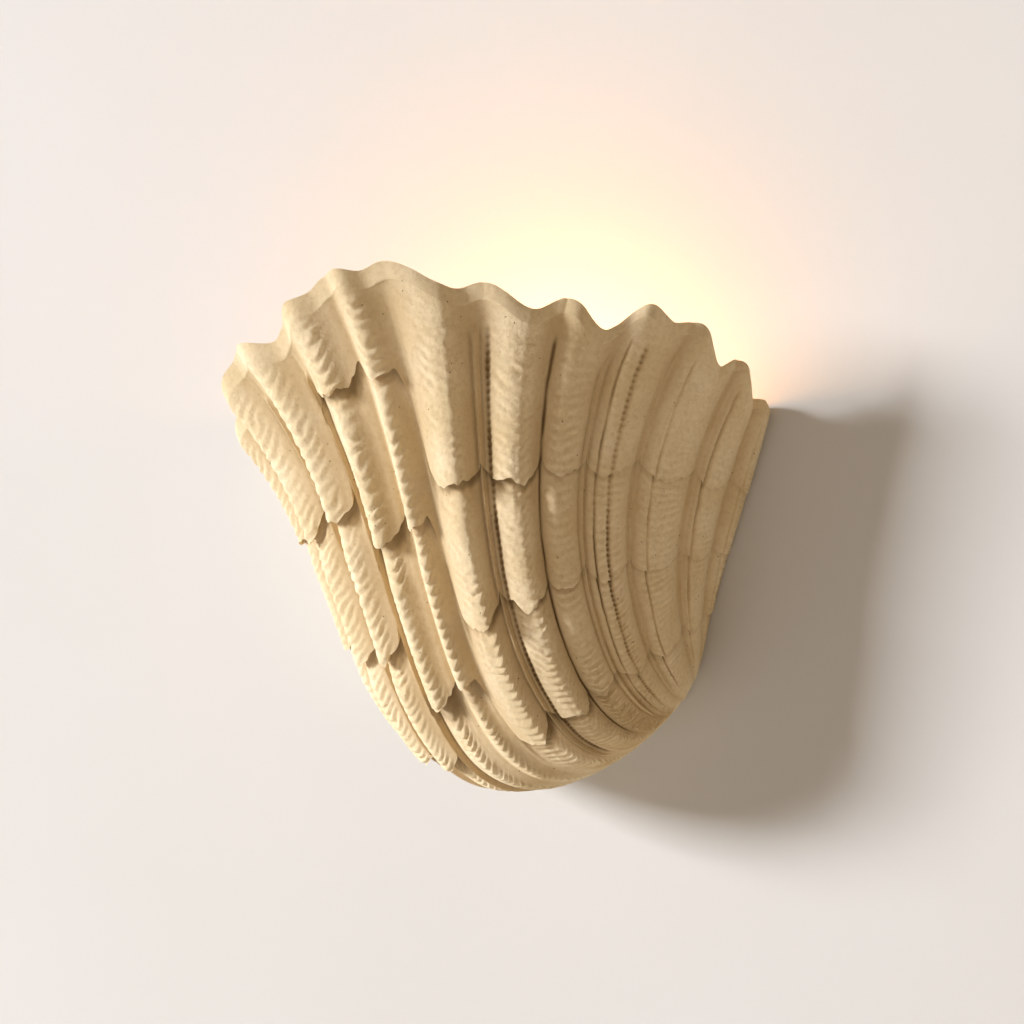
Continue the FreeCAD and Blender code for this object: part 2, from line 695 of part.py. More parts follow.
def terminal_block():
    half = BLOCK_WIDTH / 2
    front = PLATE_THICK + BLOCK_DEPTH
    body = box(-half, half, -front, -PLATE_THICK, BLOCK_FLOOR, BLOCK_TOP)
    holes = []
    for x in (pole_x(pole) for pole in (-1, 0, 1)):
        holes.append(rod(POLE_BORE, BLOCK_FLOOR, BLOCK_TOP, x, POLE_Y))
        holes.append(peg(x, BLOCK_TOP - BLOCK_HEIGHT / 2, CLAMP_RADIUS, -POLE_Y, front))
    for side in (1, -1):
        holes.append(peg(side * POLE_PITCH / 2, BLOCK_TOP - BLOCK_HEIGHT / 2,
                         BLOCK_SCREW_RADIUS + SHANK_CLEAR, PLATE_THICK - 1, front + 1))
    return body.cut(holes)


def terminal_screws():
    front = PLATE_THICK + BLOCK_DEPTH
    z = BLOCK_TOP - BLOCK_HEIGHT / 2
    screws = []
    for pole in (-1, 0, 1):
        x = pole_x(pole)
        screw = peg(x, z, CLAMP_RADIUS, -POLE_Y + POLE_BORE, front - 1)
        screws.append(screw.cut(box(x - CLAMP_RADIUS, x + CLAMP_RADIUS, -front, -(front - 2),
                                    z - POLE_BORE / 5, z + POLE_BORE / 5)))
    return group(screws)


def block_screws():
    front = PLATE_THICK + BLOCK_DEPTH
    return group([pan_screw(side * POLE_PITCH / 2, BLOCK_TOP - BLOCK_HEIGHT / 2,
                            BLOCK_SCREW_RADIUS, front, front) for side in (1, -1)])


def earth_tag():
    back = PLATE_THICK
    ring = peg(EARTH_X, EARTH_Z, TAG_RADIUS, back, back + TAG_THICK)
    low = EARTH_Z - TAG_RADIUS
    tail = box(EARTH_X - LEAD_RADIUS, EARTH_X + LEAD_RADIUS, -(back + TAG_THICK), -back,
               low - TAG_RADIUS, EARTH_Z)
    return ring.fuse(tail).cut(peg(EARTH_X, EARTH_Z, EARTH_SCREW_RADIUS + SHANK_CLEAR, 0, back + 2))


def earth_screw():
    back = PLATE_THICK + TAG_THICK
    return pan_screw(EARTH_X, EARTH_Z, EARTH_SCREW_RADIUS, back, back)


def lead(points, bend):
    """A wire of straight runs that are joined by tangent arcs of one radius."""
    corners = [V(*p) for p in points]
    edges = []
    start = corners[0]
    for before, corner, after in zip(corners, corners[1:], corners[2:]):
        way_in = (before - corner).normalize()
        way_out = (after - corner).normalize()
        half_angle = way_in.getAngle(way_out) / 2
        trim = bend / math.tan(half_angle)
        arc_start = corner + way_in * trim
        arc_end = corner + way_out * trim
        bisector = (way_in + way_out).normalize()
        centre = corner + bisector * (bend / math.sin(half_angle))
        edges.append(Part.makeLine(start, arc_start))
        edges.append(Part.Arc(arc_start, centre - bisector * bend, arc_end).toShape())
        start = arc_end
    edges.append(Part.makeLine(start, corners[-1]))
    path = Part.Wire(edges)
    first_way = (corners[1] - corners[0]).normalize()
    ring = Part.Wire(Part.makeCircle(LEAD_RADIUS, corners[0], first_way))
    return path.makePipeShell([ring], True, False)


def lamp_lead(pole, side):
    """From the block down through the bracket's hole, and up inside the nipple."""
    x = side * LEAD_SPREAD
    down = side * LEAD_RADIUS * 2
    points = [(pole_x(pole), POLE_Y, BLOCK_FLOOR + LEAD_IN_POLE),
              (pole_x(pole), POLE_Y, BLOCK_FLOOR - LEAD_OUT_BELOW),
              (down, LEAD_HOLE_Y, ARM_TOP + LEAD_OVER_ARM),
              (down, LEAD_HOLE_Y, LEAD_LOW_Z),
              (x, LAMP_AXIS_Y, LEAD_LOW_Z),
              (x, LAMP_AXIS_Y, DISC_FLOOR - CONTACT_HEIGHT)]
    return lead(points, LEAD_BEND)


def lead_live():
    return lamp_lead(1, 1)


def lead_neutral():
    return lamp_lead(-1, -1)


def lead_earth():
    """From the middle pole, over the top of the block, to the tag's tail."""
    depth = -(PLATE_THICK + TAG_THICK + LEAD_RADIUS)
    tail = EARTH_Z - 2 * TAG_RADIUS
    points = [(0, POLE_Y, BLOCK_TOP - LEAD_IN_POLE), (0, POLE_Y, BLOCK_TOP + LEAD_OUT_ABOVE),
              (EARTH_X, depth, tail + TAG_RADIUS / 2), (EARTH_X, depth, tail + TAG_RADIUS)]
    return lead(points, 2 * LEAD_RADIUS)


# ---------------------------------------------------------------- all nodes
PIECES = {
    "shell": shell,
    "shell_inserts": shell_inserts,
    "hanging_ears": hanging_ears,
    "ear_screws": ear_screws,
    "nut_washers": nut_washers,
    "thumb_nut_right": lambda: thumb_nut(1),
    "thumb_nut_left": lambda: thumb_nut(-1),
    "wall_plate": wall_plate,
    "cable_grommet": cable_grommet,
    "studs": studs,
    "stud_nuts": stud_nuts,
    "lamp_bracket": lamp_bracket,
    "bracket_screws": bracket_screws,
    "nipple": nipple,
    "nipple_nuts": nipple_nuts,
    "nipple_washer": nipple_washer,
    "holder_cap": holder_cap,
    "holder_body": holder_body,
    "holder_insert": holder_insert,
    "holder_sleeve": holder_sleeve,
    "holder_contacts": holder_contacts,
    "bulb_tip": bulb_tip,
    "bulb_insulator": bulb_insulator,
    "bulb_screw_cap": bulb_screw_cap,
    "bulb_body": bulb_body,
    "bulb_board": bulb_board,
    "bulb_leds": bulb_leds,
    "bulb_dome": bulb_dome,
    "terminal_block": terminal_block,
    "terminal_screws": terminal_screws,
    "block_screws": block_screws,
    "earth_tag": earth_tag,
    "earth_screw": earth_screw,
    "lead_live": lead_live,
    "lead_neutral": lead_neutral,
    "lead_earth": lead_earth,
}

os.makedirs("parts", exist_ok=True)
for name, make in PIECES.items():
    piece = make()
    piece.exportStep("parts/" + name + ".step")
    print(name, len(piece.Solids), "solids", round(piece.Volume), "mm3", piece.isValid())
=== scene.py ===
# %% [markdown]
# # Shell wall sconce
#
# The object is a fluted clam valve, cast in a sand-coloured gypsum and stone-dust composite.
# It hangs flat on a wall with its open rim up, and hides a small warm lamp inside, so the wall
# above it glows. The CAD model gives the fittings and the form of the shell. This script gives
# the looks: the carved skin of the casting, the finish of each fitting, the wall behind it, and
# the light.
#
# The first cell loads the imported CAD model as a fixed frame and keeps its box.

# %% Load the frame
import json
import math

import bpy
import numpy as np
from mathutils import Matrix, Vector


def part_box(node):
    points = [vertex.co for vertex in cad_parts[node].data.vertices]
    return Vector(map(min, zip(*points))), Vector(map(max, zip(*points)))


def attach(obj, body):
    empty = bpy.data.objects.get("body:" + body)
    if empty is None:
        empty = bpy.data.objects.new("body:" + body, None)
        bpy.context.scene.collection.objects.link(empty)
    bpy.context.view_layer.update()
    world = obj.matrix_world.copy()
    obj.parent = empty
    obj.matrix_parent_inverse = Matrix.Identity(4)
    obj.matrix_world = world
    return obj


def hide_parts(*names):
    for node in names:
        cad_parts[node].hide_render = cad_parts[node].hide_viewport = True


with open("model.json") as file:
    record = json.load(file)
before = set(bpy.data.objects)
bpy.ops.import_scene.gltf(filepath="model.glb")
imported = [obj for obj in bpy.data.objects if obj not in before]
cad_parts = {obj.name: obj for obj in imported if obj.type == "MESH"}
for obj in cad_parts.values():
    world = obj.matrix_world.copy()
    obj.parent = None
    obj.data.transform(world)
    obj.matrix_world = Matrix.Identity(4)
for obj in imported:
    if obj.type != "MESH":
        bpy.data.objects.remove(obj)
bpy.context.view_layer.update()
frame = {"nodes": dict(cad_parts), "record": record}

MM = 0.001

# %% [markdown]
# ## Small helpers
#
# Colours are written as sRGB hex values, the way a paint chart gives them, and one function
# turns them to the linear numbers that a shader works with. One more function adds a node with
# its settings and links, so that each material below reads as a short recipe. Another one puts
# a new object into the scene, and one more paints it.

# %% Helpers
def linear(hex_colour):
    """An sRGB colour such as "#e8d9b5" as linear red, green, blue and alpha."""
    values = [int(hex_colour[k:k + 2], 16) / 255 for k in (1, 3, 5)]
    return [v / 12.92 if v <= 0.04045 else ((v + 0.055) / 1.055) ** 2.4 for v in values] + [1.0]


def add(tree, kind, inputs=None, **settings):
    """Adds a shader node; an input is given a number, a colour or another node's output."""
    made = tree.nodes.new("ShaderNode" + kind)
    for name, value in settings.items():
        setattr(made, name, value)
    for name, value in (inputs or {}).items():
        if isinstance(value, bpy.types.NodeSocket):
            tree.links.new(value, made.inputs[name])
        else:
            made.inputs[name].default_value = value
    return made


def place_in_scene(name, data):
    """A new object with the given data, linked to the scene."""
    made = bpy.data.objects.new(name, data)
    bpy.context.scene.collection.objects.link(made)
    return made


def paint(piece, material):
    """Gives a piece one finish, in place of any that it had."""
    piece.data.materials.clear()
    piece.data.materials.append(material)


def times(tree, first, second):
    """The product of two values, each a number or another node's output."""
    return add(tree, "Math", {0: first, 1: second}, operation="MULTIPLY").outputs[0]


def start_material(name, roughness, metallic=0.0):
    """A new material with its tree, its shader and the object's own coordinates in metres."""
    material = bpy.data.materials.new(name)
    material.use_nodes = True
    tree = material.node_tree
    shader = tree.nodes["Principled BSDF"]
    shader.inputs["Roughness"].default_value = roughness
    shader.inputs["Metallic"].default_value = metallic
    place = add(tree, "TexCoord").outputs["Object"]
    return material, tree, shader, place


def per_metre(size_mm):
    """The texture scale that gives a pattern about one repeat per size in millimetres."""
    return 1 / (size_mm * MM)


def noise(tree, place, size_mm, detail=3.0, roughness=0.5):
    """Cloudy noise with blobs of about the given size, from 0 to 1."""
    return add(tree, "TexNoise", {"Vector": place, "Scale": per_metre(size_mm),
                                  "Detail": detail, "Roughness": roughness}).outputs["Fac"]


def ramp(tree, value, low, high, start=0.0, end=1.0):
    """Maps low..high to start..end, and stops at both ends."""
    return add(tree, "MapRange", {"Value": value, "From Min": low, "From Max": high,
                                  "To Min": start, "To Max": end}).outputs["Result"]


def blend(tree, share, first, second):
    """A mix of two colours."""
    mix = add(tree, "Mix", {"Factor": share}, data_type="RGBA")
    for socket, colour in (("A", first), ("B", second)):
        target = [s for s in mix.inputs if s.name == socket and s.type == "RGBA"][0]
        if isinstance(colour, bpy.types.NodeSocket):
            tree.links.new(colour, target)
        else:
            target.default_value = colour
    return [s for s in mix.outputs if s.type == "RGBA"][0]


def bumps(tree, shader, height, depth_mm, strength=1.0, below=None):
    """Adds a relief of the given depth to a shader, over another relief where one is given."""
    inputs = {"Height": height, "Distance": depth_mm * MM, "Strength": strength}
    if below is not None:
        inputs["Normal"] = below
    made = add(tree, "Bump", inputs)
    tree.links.new(made.outputs["Normal"], shader.inputs["Normal"])
    return made.outputs["Normal"]


# %% [markdown]
# ## Camera
#
# The picture was taken from the right of the object and a little above it, with a long lens.
# A camera is aimed by three facts: the point it looks at, the direction it stands in, and how
# far away it is. The angle of view then follows from the size of the object in the picture.

# %% Camera
AIM = Vector((0, -60, 25)) * MM
CAMERA_AZIMUTH = math.radians(28)
CAMERA_ELEVATION = math.radians(6)
CAMERA_DISTANCE = 1.6
ANGLE_OF_VIEW = math.radians(18.64)

back = Vector((math.sin(CAMERA_AZIMUTH) * math.cos(CAMERA_ELEVATION),
               -math.cos(CAMERA_AZIMUTH) * math.cos(CAMERA_ELEVATION),
               math.sin(CAMERA_ELEVATION)))
camera_data = bpy.data.cameras.new("photo_camera")
camera_data.angle = ANGLE_OF_VIEW
camera = place_in_scene("photo_camera", camera_data)
camera.location = AIM + back * CAMERA_DISTANCE
camera.rotation_mode = "QUATERNION"
camera.rotation_quaternion = (-back).to_track_quat("-Z", "Y")
bpy.context.scene.camera = camera
print("camera stands at", [round(c, 3) for c in camera.location])

# %% [markdown]
# ## The form of the valve
#
# A clam grows by adding lines at its rim, so its form is a family of growth lines. Each line is
# a half ellipse that stands on the wall, and four curves carry it from the umbo, low on the
# right, up to the rim. Sculpting could give the same form, but these few curves are the CAD
# solid's own, so the skin stays within a few millimetres of it. Numbers are in millimetres, and t
# is the angle round a growth line: 0 at the right end on the wall, 180 at the left end. v is the
# share of the growth: 0 at the umbo and about 1 at the rim.

# %% The growth lines
RIGHT_WALL = ((76, 0, -63), (83, 0, -48), (82, 0, -20), (105, 0, 22), (116, 0, 77))
LEFT_WALL = ((70, 0, -76), (-92, 0, -126), (-150, 0, -88), (-125, 0, -1), (-178, 0, 13))
BULGE = ((0, -22, 0), (55, -82, -67), (16, -107, -43), (0, -103, 21), (0, -133, 96))
SKEW = ((0, 0, 0), (4, 3, 9), (-12, -6, 11), (-25, -12, 8), (15, 14, -11))
LEFT_EAR_LIFT = 45.0          # the left ear is drawn up by this, past this angle
LEFT_EAR_START = 150.0
VALLEYS = (0, 9, 21, 37, 50, 61, 76, 91, 100.5, 115, 130, 146, 157, 168, 180)
CRESTS = (0.5, 0.7, 0.7, 0.65, 0.65, 0.36, 0.36, 0.6, 0.5, 0.5, 0.5, 0.5, 0.5, 0.5)
LOBE_DEPTH = 8.0
FULL_LOBE = 15.0              # a rib narrower than this angle is lower
STEP_LEVELS = (0.40, 0.61, 0.78)
STEP_HEIGHT = 3.0
STEP_DROOP = 0.038            # tiers hang lower on the ribs, as a share of the growth
LATE_RIBS = (91, 115)         # between these angles the tiers start later
LATE_SHIFT = 0.125
LATE_RAMP = 4.0
RIM_SHARES = ((0, 1.005), (12, 0.980), (21, 1.012), (26, 0.979), (36.5, 1.024), (41, 1.008),
              (46.5, 1.019), (53, 0.973), (61, 1.006), (66, 0.977), (74.5, 1.011), (80, 0.997),
              (89.5, 1.032), (95, 1.019), (99, 1.021), (108, 0.996), (119, 0.971), (128, 0.987),
              (140, 0.972), (152, 0.955), (180, 0.990))
# One value for each rib, from the right wall end round to the left: how steep and short its
# right flank is, how tall it is carved, how strong its growth ridges, its crumbled crest and
# its hanging tongues are, and how flat and how deep the valleys beside it are.
STEEP_OF = (0.0, 0.0, 0.0, 0.0, 0.1, 0.6, 1.0, 1.0, 1.0, 0.6, 0.2, 0.0, 0.0, 0.0)
TALL_OF = (1.0, 1.0, 0.9, 0.9, 0.9, 1.0, 1.0, 1.3, 1.0, 1.0, 1.0, 1.0, 1.0, 1.0)
RIDGES_OF = (0.25, 0.2, 0.25, 0.3, 0.6, 0.9, 0.9, 1.0, 1.0, 0.9, 0.9, 0.8, 0.6, 0.5)
CRUMBLE_OF = (0.1, 0.1, 0.15, 0.2, 0.35, 1.0, 0.9, 0.8, 0.9, 0.8, 0.7, 0.5, 0.3, 0.2)
TONGUES_OF = (0.4, 0.4, 0.5, 0.5, 0.8, 1.3, 1.3, 1.1, 1.2, 1.1, 1.0, 0.8, 0.7, 0.5)
FLOOR_OF = (0.0, 0.0, 0.05, 0.05, 0.08, 0.16, 0.12, 0.12, 0.22, 0.18, 0.12, 0.05, 0.0, 0.0)
HOLLOWED_OF = (0.0, 0.0, 0.1, 0.2, 0.3, 0.8, 1.0, 1.0, 1.0, 1.0, 0.6, 0.3, 0.1, 0.0)
BASE_POWER = 0.9              # a higher power makes a flank steeper and a floor wider
STEEP_RIGHT = 1.9
STEEP_LEFT = 0.5
RIB_BLEND = 1.6               # degrees over which one rib's values pass to the next
SHELL_WALL = 9.0
INNER_FLUTE = 0.6             # the hollow's flutes as a share of the outside's
HOLLOW_START = 0.12
GROWTH_LENGTH = 300.0         # from the umbo to the rim along the middle


def smooth(x):
    """An S-shaped step: 0 up to x = 0, and 1 from x = 1 on."""
    x = np.clip(x, 0.0, 1.0)
    return x * x * (3 - 2 * x)


def pulled(points, v):
    """Points at the shares v of a curve that is pulled by the given points."""
    rows = [np.array(p, float) + 0 * v[..., None] for p in points]
    while len(rows) > 1:
        rows = [a * (1 - v[..., None]) + b * v[..., None] for a, b in zip(rows, rows[1:])]
    return rows[0]


def growth_line(v):
    """The middle, half chord, bulge and skew of the growth lines at v."""
    right, left = pulled(RIGHT_WALL, v), pulled(LEFT_WALL, v)
    return (right + left) / 2, (right - left) / 2, pulled(BULGE, v), pulled(SKEW, v)


def around(t):
    """Cosine, sine and doubled sine of t, exactly 0 on the wall."""
    a = np.radians(t)
    off_wall = (t > 0) & (t < 180)
    return np.cos(a), np.where(off_wall, np.sin(a), 0.0), np.where(off_wall, np.sin(2 * a), 0.0)


def base_point(t, v, skewed=1.0):
    """Points on the smooth form, before any flute or relief."""
    middle, chord, bulge, skew = growth_line(v)
    cosine, sine, twice = around(t)
    skewed = skewed + 0 * v
    point = middle + chord * cosine[..., None] + bulge * sine[..., None]
    point = point + skew * (skewed * twice)[..., None]
    lift = skewed * LEFT_EAR_LIFT * v ** 3 * smooth((t - LEFT_EAR_START) / (180 - LEFT_EAR_START))
    point[..., 2] += lift
    return point


def outward(t, v):
    """The unit direction across the growth line, away from its inside."""
    _, chord, bulge, _ = growth_line(v)
    cosine, sine, _ = around(t)
    way = chord * (cosine / (chord ** 2).sum(-1))[..., None]
    way = way + bulge * (sine / (bulge ** 2).sum(-1))[..., None]
    return way / np.linalg.norm(way, axis=-1, keepdims=True)


def lobes(t, sharpness):
    """Height of the fluting from 0 to 1; a low sharpness gives pointed valleys."""
    height = np.zeros_like(t)
    for first, last, crest in zip(VALLEYS, VALLEYS[1:], CRESTS):
        place = np.clip((t - first) / (last - first), 0, 1)
        climb = np.where(place < crest, place / crest, (1 - place) / (1 - crest))
        full = min(1.0, (last - first) / FULL_LOBE)
        height = np.maximum(height, full * np.sin(np.pi / 2 * climb) ** sharpness)
    return height


def flutes(t):
    """The carved fluting: plain ribs on the right, wide floors and steep flanks on the left."""
    height = np.zeros_like(t)
    ribs = zip(VALLEYS, VALLEYS[1:], CRESTS, STEEP_OF, TALL_OF, FLOOR_OF)
    for first, last, crest, steep, tall, flat in ribs:
        place = np.clip((t - first) / (last - first), 0, 1)
        climb = np.where(place < crest, place / crest, (1 - place) / (1 - crest))
        climb = np.clip((climb - flat) / (1 - flat), 0, 1)
        steeper = np.where(place < crest, STEEP_RIGHT, STEEP_LEFT)
        power = BASE_POWER + steeper * steep
        full = tall * min(1.0, (last - first) / FULL_LOBE)
        height = np.maximum(height, full * np.sin(np.pi / 2 * climb) ** power)
    return height


def per_rib(t, values):
    """One value for each rib, blended over a few degrees at the valleys."""
    result = np.full(np.shape(t), float(values[0]))
    for valley, before, after in zip(VALLEYS[1:], values, values[1:]):
        result += (after - before) * smooth((t - valley) / RIB_BLEND + 0.5)
    return result


def rim_level(t):
    """How far the rim has grown at t: its crests and dips, joined smoothly."""
    level = np.full(np.shape(t), float(RIM_SHARES[0][1]))
    for (first, low), (last, high) in zip(RIM_SHARES, RIM_SHARES[1:]):
        level += (high - low) * smooth((t - first) / (last - first))
    return level


# %% [markdown]
# ## The carved relief
#
# On the flutes lies finer work. Thin raised threads run along the valleys, and cut lines run
# beside them. Growth ridges, a few millimetres apart, cross the flanks of the ribs like roof
# tiles and hang lower on the crests. The crests themselves are crumbly, as sandy casting
# plaster is where a mould has been pulled off it. All of it is real geometry, so it holds its
# light from every side. Noise comes from a fixed table of random numbers, so that every run
# gives the same shell.

# %% Noise and relief
NOISE_CELLS = 48
noise_table = np.random.default_rng(5).uniform(-1, 1, (NOISE_CELLS,) * 3)


def hills(point, size):
    """Smooth random hills from -1 to 1, about the given size in millimetres."""
    place = point / size
    cell = np.floor(place).astype(int)
    share = place - cell
    share = share * share * (3 - 2 * share)
    total = np.zeros(point.shape[:-1])
    for corner in np.ndindex(2, 2, 2):
        index = [(cell[..., k] + corner[k]) % NOISE_CELLS for k in range(3)]
        weight = np.ones_like(total)
        for k in range(3):
            weight *= share[..., k] if corner[k] else 1 - share[..., k]
        total += weight * noise_table[index[0], index[1], index[2]]
    return total


def rough(point, *waves):
    """A sum of hills, each wave given as its height and its size."""
    return sum(tall * hills(point, size) for tall, size in waves)


# Threads and lines: the angle each lies at, and its height or depth in millimetres.
RAISED_THREADS = {20.9: 0.8, 37: 1.4, 50.3: 2.0, 75.8: 2.6, 114.6: 3.4, 130: 2.8, 146: 1.2}
CUT_LINES = {5.5: 0.6, 18.8: 1.0, 33.2: 1.1, 47.4: 1.5, 61.2: 1.6}
NOTCHED_LINES = {44.0: 1.9, 73.3: 2.2}
LINE_WIDTH = 0.40             # degrees
THREAD_SIDES = ((2.2, 0.22), (-2.2, 0.18))    # cuts beside a thread: widths away, share of height
CUT_WIDTH = 0.8               # widths of the other lines, as a share of a thread's
NOTCH_WIDTH = 1.5
THREAD_WANDER = ((0.22, 24.0), (0.10, 6.0))   # degrees, and the size of the waves
THREAD_START = 0.20
PLAIN_THREAD_RIM = 13.2       # millimetres under the rim that stay free of each kind of relief
PLAIN_RIDGE_RIM = 5.1
PLAIN_CRUMB_RIM = 5.95
THREAD_FADE = 6.0             # and the millimetres in which it grows to its full height
RIM_FADE = 8.5

RIDGE_SPACING = 4.4           # millimetres between growth ridges
RIDGE_HEIGHT = 1.35
RIDGE_DROOP = 0.026           # ridges hang lower on the crests, as a share of the growth
RIDGE_WANDER = ((0.007, 9.0), (0.002, 3.0))
SAW_RISE = 0.24               # the share of a ridge's spacing in which it steps out
SAW_MIDDLE = 0.7              # how much of a ridge's height is cut in, not raised
# Fields of fine rungs: the middle angle and its reach, the middle growth and its reach.
LADDERS = ((43.2, 1.7, 0.48, 0.08), (60.0, 5.0, 0.34, 0.14), (52.0, 7.0, 0.24, 0.09))
LADDER_EDGE = 1.6
LADDER_SLANT = 0.0012
LADDER_WANDER = (0.003, 9.0)
LADDER_SPACING = 2.8
LADDER_HEIGHT = 0.8
FLANGE_WIDTH = 5.0            # the strip along the right wall edge, with its cross ticks
FLANGE_TICKS = 0.60
TICK_FADE = 1.5
CRUMBS = ((0.34, 2.6), (0.10, 1.2))
CRUMB_WEAR = 0.2              # crumbled crests are lower by this
VALLEY_CUT = 2.6
VALLEY_CUT_START = 14.0       # millimetres below the rim where a valley reaches its full cut


def line_profile(t, middle, half_width):
    """A round-topped line: 1 at its middle, and falling to nothing on both sides."""
    return np.exp(-((t - middle) / half_width) ** 2)


def saw(count):
    """A row of roof tiles: a quick step out at each whole number, then a slow fade."""
    share = count - np.floor(count)
    return smooth(share / SAW_RISE) * (1 - smooth((share - SAW_RISE) / (1 - SAW_RISE)))


def rungs(v, spacing):
    """Tiles across the growth, so many millimetres apart, sunk by most of their height."""
    return saw(v * GROWTH_LENGTH / spacing) - SAW_MIDDLE


def under_rim(t, v):
    """Millimetres below the rim."""
    return (rim_level(t) - v) * GROWTH_LENGTH


def patches(point, size, middle, swing, low, high):
    """Patchy strength: hills about a middle value, kept between two limits."""
    return np.clip(middle + swing * hills(point, size), low, high)


def ridges(t, v, point):
    """Growth ridges: each starts with a small step and fades upwards."""
    flank = flutes(t)
    hang = v + RIDGE_DROOP * flank + rough(point, *RIDGE_WANDER)
    height = RIDGE_HEIGHT * rungs(hang, RIDGE_SPACING) * patches(point, 12.0, 0.85, 0.6, 0.2, 1.3)
    height *= per_rib(t, RIDGES_OF) * smooth((flank - 0.1) / 0.5) * smooth((v - 0.1) / 0.08)
    height *= smooth((under_rim(t, v) - PLAIN_RIDGE_RIM) / RIM_FADE)
    for t_middle, t_reach, v_middle, v_reach in LADDERS:
        window = smooth(LADDER_EDGE - abs(t - t_middle) / t_reach)
        window *= smooth(LADDER_EDGE - abs(v - v_middle) / v_reach)
        slanted = v + LADDER_SLANT * (t - t_middle) + rough(point, LADDER_WANDER)
        height += LADDER_HEIGHT * window * rungs(slanted, LADDER_SPACING)
    ticks = saw(v * GROWTH_LENGTH / LADDER_SPACING)
    ticks *= smooth((FLANGE_WIDTH - t) / TICK_FADE) * smooth(t / TICK_FADE)
    return height - FLANGE_TICKS * ticks


def threads(t, v, point):
    """Raised threads in the valleys, cut lines and notched lines beside them."""
    fade = smooth((v - THREAD_START) / 0.1)
    fade *= smooth((under_rim(t, v) - PLAIN_THREAD_RIM) / THREAD_FADE)
    wander = t + rough(point, *THREAD_WANDER)
    broken = patches(point, 13.0, 0.95, 0.5, 0.3, 1.2)
    height = np.zeros_like(t)
    for middle, tall in RAISED_THREADS.items():
        height += tall * line_profile(wander, middle, LINE_WIDTH)
        for away, share in THREAD_SIDES:
            height -= share * tall * line_profile(wander, middle + away * LINE_WIDTH, LINE_WIDTH)
    for middle, deep in CUT_LINES.items():
        height -= deep * broken * line_profile(wander, middle, CUT_WIDTH * LINE_WIDTH)
    notch = 0.55 + 0.45 * saw(v * GROWTH_LENGTH / LADDER_SPACING)
    for middle, deep in NOTCHED_LINES.items():
        height -= deep * notch * broken * line_profile(wander, middle, NOTCH_WIDTH * LINE_WIDTH)
    return height * fade


def crumble(t, v, point):
    """Crumbly crests: small lumps and pits on the ribs."""
    crest = smooth((lobes(t, 1.0) - 0.5) / 0.4) * per_rib(t, CRUMBLE_OF)
    fade = smooth((under_rim(t, v) - PLAIN_CRUMB_RIM) / RIM_FADE) * smooth((v - 0.12) / 0.1)
    lumps = rough(point, *CRUMBS) - CRUMB_WEAR
    return lumps * crest * fade * patches(point, 13.0, 0.5, 1.1, 0.0, 1.0)


# %% [markdown]
# ## The skin of the casting
#
# The mesh is one closed grid: up the outside from the umbo through four tiers of growth, over
# the bevelled rim, and down the hollow. Where growth paused, the younger tier starts a few
# millimetres outside the older one and hangs over it, like a roof tile, with a pointed arch in
# each valley and a hanging tongue on each rib. The columns are packed closer at the threads,
# because a line a millimetre wide needs a few points across it.

# %% Grid of the outside
TIER_ROWS = (150, 78, 66, 88)
COLUMN_STEP = 0.36            # degrees
FINE_OFFSETS = (0.12, 0.24, 0.36, 0.5, 0.65, 0.85)
FULL_FLUTES = 0.9             # the growth at which the flutes reach their full depth
RAGGED_EDGE = ((0.007, 9.0), (0.003, 2.5))
TONGUE_IN_VALLEY = 0.15       # how far a tile stands out in a valley, as a share of its crest
RECESS = 2.4                  # how deep the older tier is cut back under the younger one
RECESS_START = 0.70           # the shares of a tier where its recess and its painted shade begin
SHADE_START = 0.88
LINE_SHADE = 0.9              # how dark the cut lines and the corners under a tile are painted: painted shade
LEDGE_SHADE = 1.3
TUCK = 0.010                  # the older tier runs on under the younger by this share
OUTER_ROUND = 6.5             # how far down the outside the rim's bevel runs
LEVEL_TOP = 0.12              # the share of the rim's half thickness that is level
INNER_ROUND = 2.6             # how far down the inside it is rounded, and how squarely
INNER_POWER = 3.2
RIM_CROWN = 1.6               # the rim's middle stands this much above the CAD model's edge
RIM_WEAR = ((0.18, 3.0), (0.25, 9.0))
RIM_ROWS = 19
HOLLOW_ROWS = 70
TROWEL_MARKS = (0.25, 12.0)

columns = list(np.arange(0, 180 + COLUMN_STEP / 2, COLUMN_STEP))
for line in [*RAISED_THREADS, *CUT_LINES, *NOTCHED_LINES]:
    columns += [line] + [line + side * offset for offset in FINE_OFFSETS for side in (-1, 1)]
columns = np.unique(np.round(np.clip(columns, 0, 180), 2))
print("columns round a growth line:", len(columns))

pointed = lobes(columns, 0.8)
rounded = flutes(columns)
hollowed = (1 - lobes(columns, 1.0)) ** 2 * per_rib(columns, HOLLOWED_OF)
late = smooth((columns - LATE_RIBS[0]) / LATE_RAMP + 0.5)
late *= smooth((LATE_RIBS[1] - columns) / LATE_RAMP + 0.5)
rim_share = rim_level(columns)


def tier_start(tier):
    """Where a tier begins at every column: pointed arches in valleys, tongues on ribs."""
    if tier == 0:
        return 0 * columns
    if tier == len(STEP_LEVELS) + 1:
        return rim_share - OUTER_ROUND / GROWTH_LENGTH
    place = np.stack([columns * 2.5, 0 * columns, 0 * columns + 90 * tier], -1)
    ragged = rough(place, *RAGGED_EDGE)
    return STEP_LEVELS[tier - 1] + LATE_SHIFT * late - STEP_DROOP * (pointed - 0.5) + ragged


def relief(t, v, point, step):
    """How far the skin stands off the smooth form, and how much dust and painted shade its colour
    gets.
    """
    cut = VALLEY_CUT * hollowed * smooth(under_rim(t, v) / VALLEY_CUT_START)
    height = (LOBE_DEPTH * rounded - cut) * smooth(v / FULL_FLUTES) + step
    lines = threads(t, v, point)
    height += ridges(t, v, point) + lines + crumble(t, v, point)
    # The second value darkens the colour: dust and painted shade in the valleys and along the cut
    # lines.
    return height, 1 - rounded + LINE_SHADE * np.clip(-lines, 0, 2)


